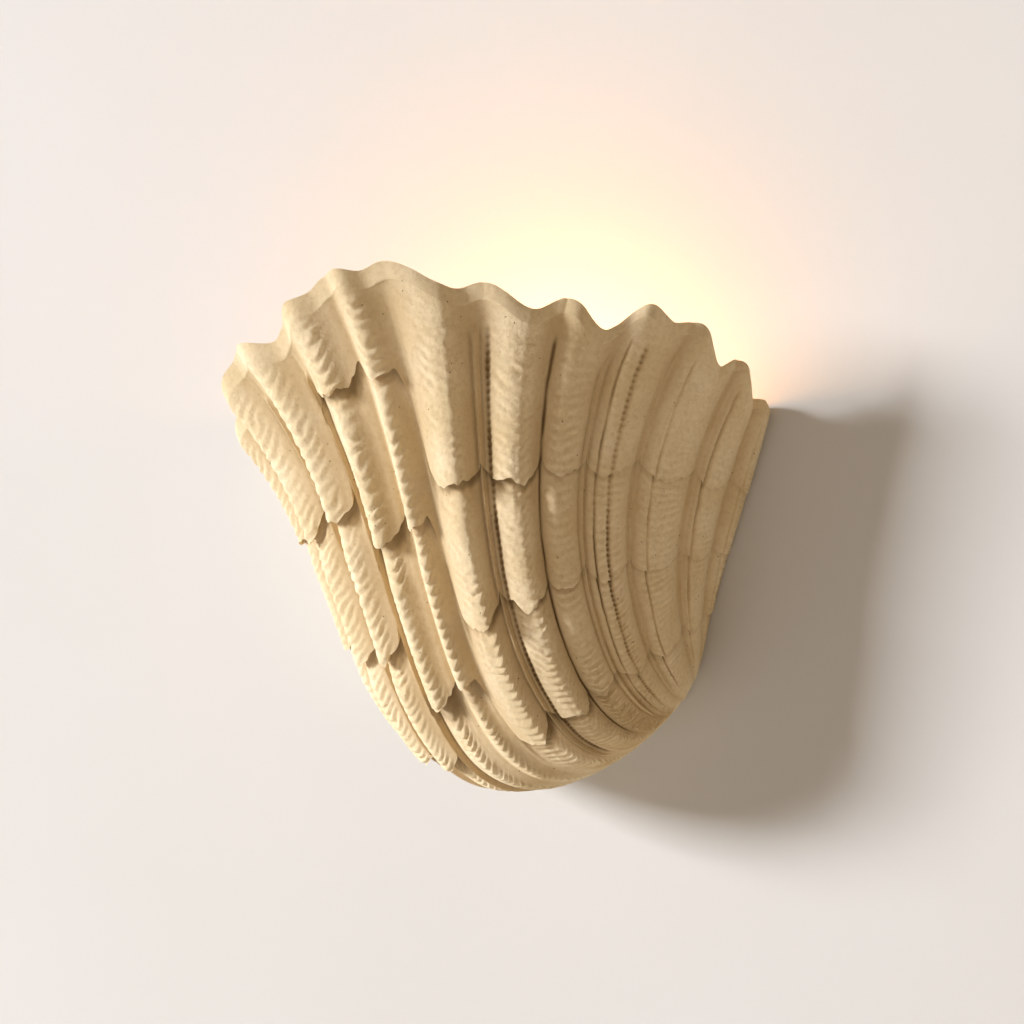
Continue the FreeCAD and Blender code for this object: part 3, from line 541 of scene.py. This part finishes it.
outer_rows = []
shade_rows = []
tongue = (TONGUE_IN_VALLEY + (1 - TONGUE_IN_VALLEY) * pointed) * per_rib(columns, TONGUES_OF)
tongue *= 1 - 3 * late * (1 - late)     # lower where a late tier's edge climbs
for tier, rows in enumerate(TIER_ROWS):
    low = tier_start(tier)
    high = tier_start(tier + 1)
    tucked = TUCK if tier + 1 < len(TIER_ROWS) else 0.0
    for share in np.linspace(0, 1, rows):
        v = low + (high + tucked - low) * share
        flare = 0.5 * (1 - share) + 0.5 * (1 - share) ** 5
        step = STEP_HEIGHT * tongue * flare if tier else 0 * columns
        under = -RECESS * smooth((share - RECESS_START) / 0.25) * tongue if tucked else 0.0
        point = base_point(columns, v)
        height, shade = relief(columns, v, point, step + under)
        if tucked:
            # Painted shade: the corner under the younger tile is painted darker.
            shade = shade + LEDGE_SHADE * tongue * smooth((share - SHADE_START) / 0.07)
        shade_rows.append(shade)
        outer_rows.append(point + outward(columns, v) * height[:, None])
print("rows on the outside:", len(outer_rows))

# %% [markdown]
# The rim has a straight bevel with a crisp lower edge on its outside, and a superellipse rounds
# it towards the inside. The hollow follows the flutes more softly, because the wall is thicker
# behind each rib.

# %% Rim and hollow
outside_edge = LOBE_DEPTH * rounded
inside_edge = INNER_FLUTE * LOBE_DEPTH * rounded - SHELL_WALL
rim_rows = []
for across in np.cos(np.linspace(0, np.pi, RIM_ROWS + 2))[1:-1]:
    if across > 0:
        drop = OUTER_ROUND * max(across - LEVEL_TOP, 0) / (1 - LEVEL_TOP)
    else:
        drop = INNER_ROUND * (1 - (1 - abs(across) ** INNER_POWER) ** (1 / INNER_POWER))
    v = rim_share + (RIM_CROWN * (1 - across ** 2) - drop) / GROWTH_LENGTH
    offset = (outside_edge + inside_edge) / 2 + across * (outside_edge - inside_edge) / 2
    point = base_point(columns, v)
    worn = rough(point, *RIM_WEAR)
    rim_rows.append(point + outward(columns, v) * (offset + worn * (1 - across ** 2))[:, None])

hollow_rows = []
for share in np.linspace(1, 0, HOLLOW_ROWS):
    v = HOLLOW_START + (rim_share - INNER_ROUND / GROWTH_LENGTH - HOLLOW_START) * share
    offset = INNER_FLUTE * LOBE_DEPTH * rounded * smooth(share) - SHELL_WALL
    point = base_point(columns, v, smooth(3 * share))
    trowelled = rough(point, TROWEL_MARKS) * smooth((1 - share) * 12)
    hollow_rows.append(point + outward(columns, v) * (offset + trowelled)[:, None])

# %% [markdown]
# The umbo is closed with a small rounded cap, and the flat back and the floor of the hollow are
# single faces. The wall end of every row stays at y = 0, so the back is truly flat.

# %% One closed mesh
CAP_ROWS = 7
CAP_LENGTH = 5.0
tip = outer_rows[0]
tip_middle = (tip[0] + tip[-1]) / 2
growth_way = outer_rows[1].mean(0) - outer_rows[0].mean(0)
growth_way[1] = 0
growth_way /= np.linalg.norm(growth_way)
cap_rows = []
for a in np.linspace(0.5 * np.pi, 0, CAP_ROWS + 1)[:-1]:
    cap_rows.append(tip_middle + (tip - tip_middle) * max(math.cos(a), 0.02)
                    - growth_way * CAP_LENGTH * math.sin(a))

grid = np.array(cap_rows + outer_rows + rim_rows + hollow_rows)
grid[:, 0, 1] = 0.0
grid[:, -1, 1] = 0.0
solid_low, solid_high = (np.array(corner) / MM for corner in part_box("shell"))
print("skin leaves the solid's box by mm:", (solid_low - grid.min((0, 1))).round(2),
      (grid.max((0, 1)) - solid_high).round(2))
grid = np.clip(grid, solid_low, solid_high)
rows, count = grid.shape[:2]
number = np.arange(rows * count).reshape(rows, count)
quads = np.stack([number[:-1, :-1], number[:-1, 1:], number[1:, 1:], number[1:, :-1]], -1)
faces = quads.reshape(-1, 4).tolist()
faces.append(number[0][::-1].tolist())
faces.append(number[-1].tolist())
faces.append(number[:, 0].tolist() + number[::-1, -1].tolist())

shell_mesh = bpy.data.meshes.new("fluted_shell")
shell_mesh.from_pydata((grid.reshape(-1, 3) * MM).tolist(), [], faces)
shell_mesh.validate()
shell_mesh.update()
shell_mesh.shade_smooth()
shell_mesh.set_sharp_from_angle(angle=math.radians(62))
print("faces of the skin:", len(shell_mesh.polygons))

# %% [markdown]
# The colour is painted darker in the valleys, along the cut lines and in the corners under the
# tiles: dust and painted shade. The crests get none of it, so they stand lighter. The mesh knows
# where each point lies, so two point attributes carry that to the material: how much dust and
# painted shade a point gets, and how near it is to a rib's crest, where the crumb pits are
# painted darker as painted shade.

# %% Painted shade, dust and crest attributes
RIM_AND_HOLLOW_SHADE = 0.3
dust_and_shade_value = np.zeros((rows, count))
crumbly_crest_value = np.zeros((rows, count))
first = len(cap_rows)
last = first + len(outer_rows)
dust_and_shade_value[first:last] = shade_rows
crumbly_crest_value[first:last] = smooth((lobes(columns, 1.0) - 0.45) / 0.4)
dust_and_shade_value[last:] = RIM_AND_HOLLOW_SHADE
for name, values in (("valley_dust_and_shade", dust_and_shade_value), ("crumbly_crests", crumbly_crest_value)):
    attribute = shell_mesh.attributes.new(name, "FLOAT", "POINT")
    attribute.data.foreach_set("value", values.ravel())


def cast_piece(name, mesh):
    """A piece of the casting: it rides with the shell and stands in for the CAD shell."""
    made = place_in_scene(name, mesh)
    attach(made, "shell_body")
    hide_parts("shell")
    return made


shell = cast_piece("fluted_shell", shell_mesh)

# %% [markdown]
# ## Lugs for the hanging ears
#
# Inside, close to the wall, the casting has two lugs that carry brass inserts for the steel
# hanging ears. They are cast with the shell, so they get the same finish. A block with soft
# edges is enough, and the insert from the CAD model sits in it.

# %% Lugs
EAR_FRONT = 8.3
LUG_DEPTH = 18.0
LUG_HALF = 11.0
LUG_REACH = 27.0
LUG_SOFT_EDGE = 1.6


def wall_middle_x(z, end):
    """The middle of the casting's thickness beside the wall, at a height."""
    shares = np.linspace(HOLLOW_START, 1, 4000)
    edge = base_point(np.full_like(shares, float(end)), shares)
    nearest = np.abs(edge[:, 2] - z).argmin()
    return edge[nearest, 0] + (SHELL_WALL / 2 if end else -SHELL_WALL / 2)


def make_lug(end):
    """The lug at one wall end: t = 0 on the right, t = 180 on the left."""
    side = -1 if end else 1
    inner = wall_middle_x(0, end) - side * LUG_REACH
    outline = [(inner, -LUG_HALF), (inner, LUG_HALF),
               (wall_middle_x(LUG_HALF, end), LUG_HALF), (wall_middle_x(-LUG_HALF, end), -LUG_HALF)]
    points = [(x, -EAR_FRONT, z) for x, z in outline]
    points += [(x, -EAR_FRONT - LUG_DEPTH, z) for x, z in outline]
    sides = [[0, 1, 2, 3], [7, 6, 5, 4], [0, 4, 5, 1], [1, 5, 6, 2], [2, 6, 7, 3], [3, 7, 4, 0]]
    name = "shell_lug_left" if end else "shell_lug_right"
    mesh = bpy.data.meshes.new(name)
    mesh.from_pydata([tuple(c * MM for c in p) for p in points], [], sides)
    mesh.update()
    mesh.shade_smooth()
    made = cast_piece(name, mesh)
    soft = made.modifiers.new("soft_edges", "BEVEL")
    soft.width = LUG_SOFT_EDGE * MM
    soft.segments = 3
    return made


lugs = [make_lug(end) for end in (0, 180)]
print("lugs:", [lug.name for lug in lugs])

# %% [markdown]
# ## Cast gypsum and stone dust
#
# The casting is a gypsum composite with fine sand and stone dust, left unglazed and unsealed.
# That gives the eye a dry, chalky surface with no gloss, a warm sand colour that is a little
# uneven, grains that catch the light, and small round holes where air bubbles met the mould.
# The grains are about 0.3 mm, too fine to show, so they are drawn at 0.7 mm.

# %% Cast composite material
SAND_LIGHT = linear("#f0dfba")
SAND_MIDDLE = linear("#e7d3a8")
SAND_DEEP = linear("#c2a26e")
CORNER_SHADE = linear("#80643c")
BUBBLE_HOLE_SHADE = linear("#6d5638")
CLOUD_MM = 28.0               # how large the patches of each pattern are
SPECKLE_MM = 2.5
LUMP_MM = 5.0
CRUMB_MM = 1.4
GRAIN_MM = 0.7
LUMP_DEPTH = 0.35             # how deep each pattern is, in millimetres
CRUMB_DEPTH = 0.12
GRAIN_DEPTH = 0.22
HOLE_DEPTH = 0.6
CRUMB_SHADE = 0.12
BUBBLE_MM = 4.5               # cells that may hold a bubble hole
BUBBLE_SIZE = 0.085           # a hole's radius as a share of its cell
BUBBLE_SHARE = 0.22           # share of the cells that hold one


def cast_composite():
    material, tree, shader, place = start_material("cast_gypsum_composite", 0.93)
    shader.inputs["IOR"].default_value = 1.52
    shader.inputs["Specular IOR Level"].default_value = 0.25
    shader.inputs["Diffuse Roughness"].default_value = 0.8
    depth = add(tree, "Attribute", attribute_name="valley_dust_and_shade").outputs["Fac"]
    on_crest = add(tree, "Attribute", attribute_name="crumbly_crests").outputs["Fac"]

    cloud = ramp(tree, noise(tree, place, CLOUD_MM), 0.35, 0.65)
    colour = blend(tree, cloud, SAND_MIDDLE, SAND_LIGHT)
    speckle = ramp(tree, noise(tree, place, SPECKLE_MM, 4.0, 0.65), 0.45, 0.75, 0.0, 0.35)
    colour = blend(tree, speckle, colour, SAND_DEEP)
    # Dust and painted shade: the colour is painted darker in the valleys and along the cut lines.
    colour = blend(tree, ramp(tree, depth, 0.3, 1.0, 0.0, 0.42), colour, SAND_DEEP)
    # Painted shade: the deepest corners, under the tiles and in the cut lines, are painted dark
    # brown.
    colour = blend(tree, ramp(tree, depth, 1.0, 2.2, 0.0, 0.85), colour, CORNER_SHADE)

    cells = add(tree, "TexVoronoi", {"Vector": place, "Scale": per_metre(BUBBLE_MM)})
    hole = ramp(tree, cells.outputs["Distance"], BUBBLE_SIZE * 0.6, BUBBLE_SIZE, 1.0, 0.0)
    chance = add(tree, "SeparateColor", {0: cells.outputs["Color"]}).outputs[0]
    chosen = ramp(tree, chance, BUBBLE_SHARE, BUBBLE_SHARE + 0.01, 1.0, 0.0)
    hole = times(tree, hole, chosen)
    pits = noise(tree, place, CRUMB_MM, 2.0, 0.6)
    crumbs = ramp(tree, pits, 0.56, 0.66, 0.0, 1.0)
    crumbs = times(tree, crumbs, on_crest)
    # Painted shade: the bubble holes are painted dark inside.
    colour = blend(tree, hole, colour, BUBBLE_HOLE_SHADE)
    # Painted shade: the crumb pits on the crests are painted a little darker.
    colour = blend(tree, times(tree, crumbs, CRUMB_SHADE), colour, SAND_DEEP)
    tree.links.new(colour, shader.inputs["Base Color"])

    grain = bumps(tree, shader, noise(tree, place, GRAIN_MM, 4.0, 0.7), GRAIN_DEPTH)
    lumps = bumps(tree, shader, noise(tree, place, LUMP_MM, 3.0), LUMP_DEPTH, below=grain)
    crumbed = bumps(tree, shader, times(tree, crumbs, -1.0), CRUMB_DEPTH, below=lumps)
    bumps(tree, shader, times(tree, hole, -1.0), HOLE_DEPTH, below=crumbed)
    return material


casting = cast_composite()
for piece in [shell] + lugs:
    paint(piece, casting)
print("finish of the shell:", casting.name)

# %% [markdown]
# ## Metals
#
# Zinc-plated steel is stamped and bent, so it is grey with a soft, slightly blue crystal cloud
# and fine rolling lines. Brass is turned on a lathe, so it has rings round its axis. The lamp's
# cap is nickel-plated. A metal keeps the default IOR, and its colour is what it reflects.

# %% Metal materials
def zinc_plated_steel():
    material, tree, shader, place = start_material("zinc_plated_steel", 0.34, 1.0)
    spangle = add(tree, "TexVoronoi", {"Vector": place, "Scale": per_metre(3.5)})
    tint = blend(tree, spangle.outputs["Distance"], linear("#b9bcc0"), linear("#a3a8ae"))
    tree.links.new(tint, shader.inputs["Base Color"])
    stretched = add(tree, "Mapping", {"Vector": place, "Scale": (0.08, 1.0, 1.0)})
    rolled = noise(tree, stretched.outputs["Vector"], 0.5, 2.0)
    tree.links.new(ramp(tree, rolled, 0.3, 0.7, 0.28, 0.42), shader.inputs["Roughness"])
    bumps(tree, shader, rolled, 0.02)
    return material


def turned_brass():
    material, tree, shader, place = start_material("turned_brass", 0.26, 1.0)
    tarnish = ramp(tree, noise(tree, place, 5.0), 0.4, 0.7)
    tint = blend(tree, tarnish, linear("#d8b465"), linear("#b98f45"))
    tree.links.new(tint, shader.inputs["Base Color"])
    turned = noise(tree, place, 0.35, 2.0)
    tree.links.new(ramp(tree, turned, 0.3, 0.7, 0.20, 0.36), shader.inputs["Roughness"])
    bumps(tree, shader, turned, 0.015)
    return material


def nickel_plate():
    material, tree, shader, place = start_material("nickel_plate", 0.22, 1.0)
    haze = ramp(tree, noise(tree, place, 3.0), 0.35, 0.7)
    tint = blend(tree, haze, linear("#d6d2c8"), linear("#bdb8ab"))
    tree.links.new(tint, shader.inputs["Base Color"])
    tree.links.new(ramp(tree, haze, 0.0, 1.0, 0.16, 0.30), shader.inputs["Roughness"])
    return material


def solder_blob():
    material, tree, shader, place = start_material("tin_solder", 0.45, 1.0)
    dull = noise(tree, place, 0.8)
    tint = blend(tree, dull, linear("#b4b3ae"), linear("#8f8e8a"))
    tree.links.new(tint, shader.inputs["Base Color"])
    bumps(tree, shader, dull, 0.05)
    return material


# %% [markdown]
# ## Plastics, ceramic, glass and rubber
#
# The lampholder is black phenolic, moulded under heat, with a faint satin bloom. The terminal
# block and the lamp's body are white polyamide and polycarbonate. The holder's inner disc is
# glazed ceramic, the lamp's insulator black glass, and the grommet and washers matt rubber.

# %% Moulded and fired materials
def moulded(name, light, dark, roughness, cloud_mm, texture_mm, depth_mm, ior=1.5):
    """A moulded surface: a slight cloud in its colour and a fine eroded texture."""
    material, tree, shader, place = start_material(name, roughness)
    shader.inputs["IOR"].default_value = ior
    cloud = ramp(tree, noise(tree, place, cloud_mm), 0.35, 0.65)
    tree.links.new(blend(tree, cloud, linear(light), linear(dark)), shader.inputs["Base Color"])
    texture = noise(tree, place, texture_mm, 3.0, 0.6)
    low, high = roughness * 0.85, min(1.0, roughness * 1.15)
    tree.links.new(ramp(tree, texture, 0.3, 0.7, low, high), shader.inputs["Roughness"])
    bumps(tree, shader, texture, depth_mm)
    return material


def glazed_ceramic():
    material = moulded("glazed_steatite", "#ece6d6", "#dcd3be", 0.22, 6.0, 1.5, 0.02, 1.52)
    shader = material.node_tree.nodes["Principled BSDF"]
    shader.inputs["Coat Weight"].default_value = 0.6
    shader.inputs["Coat Roughness"].default_value = 0.08
    return material


# %% [markdown]
# ## The glowing lamp
#
# The lamp's dome is opal polycarbonate with white LEDs behind it, of a warm 2700 K. Opal
# plastic scatters the light so well that the whole dome looks evenly bright, and only its foot
# is a little darker. The dome itself gives the light here, so its glow reaches the wall
# and the hollow the way the real one does.

# %% Lamp materials
WARM_LIGHT = linear("#ffd9a0")
DOME_GLOW = 2.6
low_corner, high_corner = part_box("bulb_dome")


def opal_dome():
    material, tree, shader, place = start_material("opal_polycarbonate", 0.35)
    shader.inputs["IOR"].default_value = 1.58
    cloud = ramp(tree, noise(tree, place, 9.0), 0.3, 0.7)
    tree.links.new(blend(tree, cloud, linear("#f6f0e2"), linear("#efe6d2")),
                   shader.inputs["Base Color"])
    height = add(tree, "SeparateXYZ", {0: place}).outputs["Z"]
    rising = ramp(tree, height, low_corner.z, low_corner.z + 0.35 * (high_corner.z - low_corner.z))
    glow = blend(tree, rising, linear("#e0a868"), WARM_LIGHT)
    tree.links.new(glow, shader.inputs["Emission Color"])
    shader.inputs["Emission Strength"].default_value = DOME_GLOW
    bumps(tree, shader, noise(tree, place, 1.0), 0.01)
    return material


def phosphor():
    material = moulded("yellow_phosphor", "#f0cf5a", "#e2b83c", 0.5, 1.5, 0.4, 0.01)
    shader = material.node_tree.nodes["Principled BSDF"]
    shader.inputs["Emission Color"].default_value = WARM_LIGHT
    shader.inputs["Emission Strength"].default_value = 4.0
    return material


def two_colour_sleeve(name, first, second):
    """A silicone lead sleeve with a stripe of a second colour along it."""
    material, tree, shader, place = start_material(name, 0.55)
    wave = add(tree, "TexWave", {"Vector": place, "Scale": per_metre(14.0), "Distortion": 1.0})
    share = ramp(tree, wave.outputs["Fac"], 0.45, 0.55)
    tree.links.new(blend(tree, share, linear(first), linear(second)), shader.inputs["Base Color"])
    bumps(tree, shader, noise(tree, place, 0.5), 0.02)
    return material


# %% [markdown]
# ## Finishes for the CAD fittings
#
# Every fitting keeps its exact CAD shape and takes a finish from its slot in the record. The
# slot names and the finishes are paired here, and the loop puts each finish on its nodes.

# %% Give each node its finish
finishes = {
    "cast_stone": casting,
    "zinc_steel": zinc_plated_steel(),
    "brass": turned_brass(),
    "nickel": nickel_plate(),
    "solder": solder_blob(),
    "rubber": moulded("moulded_rubber", "#232323", "#191919", 0.8, 4.0, 0.6, 0.03, 1.52),
    "black_plastic": moulded("phenolic_resin", "#17171a", "#0f0f11", 0.38, 7.0, 0.6, 0.02),
    "white_plastic": moulded("white_polyamide", "#e9e6de", "#dedacf", 0.42, 8.0, 0.8, 0.02),
    "lamp_ceramic": glazed_ceramic(),
    "opal_glass": opal_dome(),
    "board_white": moulded("solder_mask", "#e4e9e4", "#d5dbd5", 0.3, 5.0, 0.8, 0.01),
    "led_yellow": phosphor(),
    "vitrite": moulded("black_glass", "#0d0d10", "#050506", 0.12, 3.0, 1.0, 0.005, 1.6),
    "wire_brown": two_colour_sleeve("brown_silicone", "#4a2a18", "#3d2112"),
    "wire_blue": two_colour_sleeve("blue_silicone", "#1d3f8c", "#16337a"),
    "wire_earth": two_colour_sleeve("green_yellow_silicone", "#3e8a2e", "#d8cf2c"),
}
for part in frame["record"]["subparts"]:
    paint(frame["nodes"][part["node"]], finishes[part["material_slot"]])
print("finishes:", len(finishes))

# %% [markdown]
# ## Wall and floor
#
# The sconce hangs on a smooth painted wall. The wall is part of the picture and not of the object.
# It is only there from the front: from behind it lets the eye through, so that the back of the
# sconce can be looked at. A pale floor lies far below.

# %% Stage
WALL_SIZE = 6.0               # metres
FLOOR_DROP = 1.5              # metres
WALL_GAP = 0.4                # the wall stands this far behind the part, in millimetres


def plain_sheet(name, corners, material):
    mesh = bpy.data.meshes.new(name)
    mesh.from_pydata(corners, [], [[0, 1, 2, 3]])
    mesh.update()
    made = place_in_scene(name, mesh)
    paint(made, material)


def wall_paint():
    """Matt paint that is clear from behind."""
    material, tree, shader, place = start_material("matt_wall_paint", 0.95)
    cloud = ramp(tree, noise(tree, place, 300.0), 0.3, 0.7)
    tint = blend(tree, cloud, linear("#cfcbc4"), linear("#ccc8c0"))
    tree.links.new(tint, shader.inputs["Base Color"])
    bumps(tree, shader, noise(tree, place, 2.5, 3.0), 0.05)
    facing = add(tree, "NewGeometry").outputs["Backfacing"]
    clear = add(tree, "BsdfTransparent").outputs["BSDF"]
    output = tree.nodes["Material Output"]
    one_sided = add(tree, "MixShader", {0: facing, 1: shader.outputs["BSDF"], 2: clear})
    tree.links.new(one_sided.outputs["Shader"], output.inputs["Surface"])
    return material


half = WALL_SIZE / 2
wall_y = WALL_GAP * MM
floor_paint = moulded("pale_floor_paint", "#eeebe6", "#e8e4de", 0.8, 200.0, 3.0, 0.05)
plain_sheet("painted_wall", [(-half, wall_y, -FLOOR_DROP), (half, wall_y, -FLOOR_DROP),
                             (half, wall_y, half), (-half, wall_y, half)], wall_paint())
plain_sheet("pale_floor", [(-half, -WALL_SIZE, -FLOOR_DROP), (half, -WALL_SIZE, -FLOOR_DROP),
                           (half, wall_y, -FLOOR_DROP), (-half, wall_y, -FLOOR_DROP)], floor_paint)
print("stage: wall and floor")

# %% [markdown]
# ## Light
#
# A soft window light comes from the far left and a little above, so that the left ribs are
# bright, the right half turns away into shade, and a long soft shadow falls to the right on
# the wall. It stands far off, so that it lights the wall evenly. A weak fill keeps the shade
# open. A small warm light sits on top of the lamp's dome and helps the dome to throw its glow up
# the wall. Places and sizes are in metres, and powers in watts.

# %% Lights
def soft_light(name, place, size, power, colour):
    """A square light at a place in metres, turned towards the object."""
    data = bpy.data.lights.new(name, "AREA")
    data.shape = "SQUARE"
    data.size = size
    data.energy = power
    data.color = linear(colour)[:3]
    made = place_in_scene(name, data)
    made.location = place
    way = Vector(LIT_POINT) - Vector(place)
    made.rotation_mode = "QUATERNION"
    made.rotation_quaternion = way.to_track_quat("-Z", "Y")


LIT_POINT = (0, -0.06, 0.02)
soft_light("window_light", (-9.94, -6.24, 2.86), 3.0, 2950, "#eaeef8")
soft_light("room_fill", (1.6, -2.2, 0.9), 2.2, 4, "#ffd9a6")

GLOW_HEIGHT = 0.02            # metres above the lamp's dome
glow_data = bpy.data.lights.new("lamp_glow", "POINT")
glow_data.energy = 0.55
glow_data.color = linear("#ffc07a")[:3]
glow_data.shadow_soft_size = 0.018
glow = place_in_scene("lamp_glow", glow_data)
glow.location = ((low_corner.x + high_corner.x) / 2, (low_corner.y + high_corner.y) / 2,
                 high_corner.z + GLOW_HEIGHT)

world = bpy.data.worlds.new("studio_air")
bpy.context.scene.world = world
world.use_nodes = True
air = world.node_tree.nodes["Background"]
air.inputs["Color"].default_value = linear("#ffdfb8")
air.inputs["Strength"].default_value = 0.235
bpy.context.scene.view_settings.view_transform = "Standard"
print("lights are set")
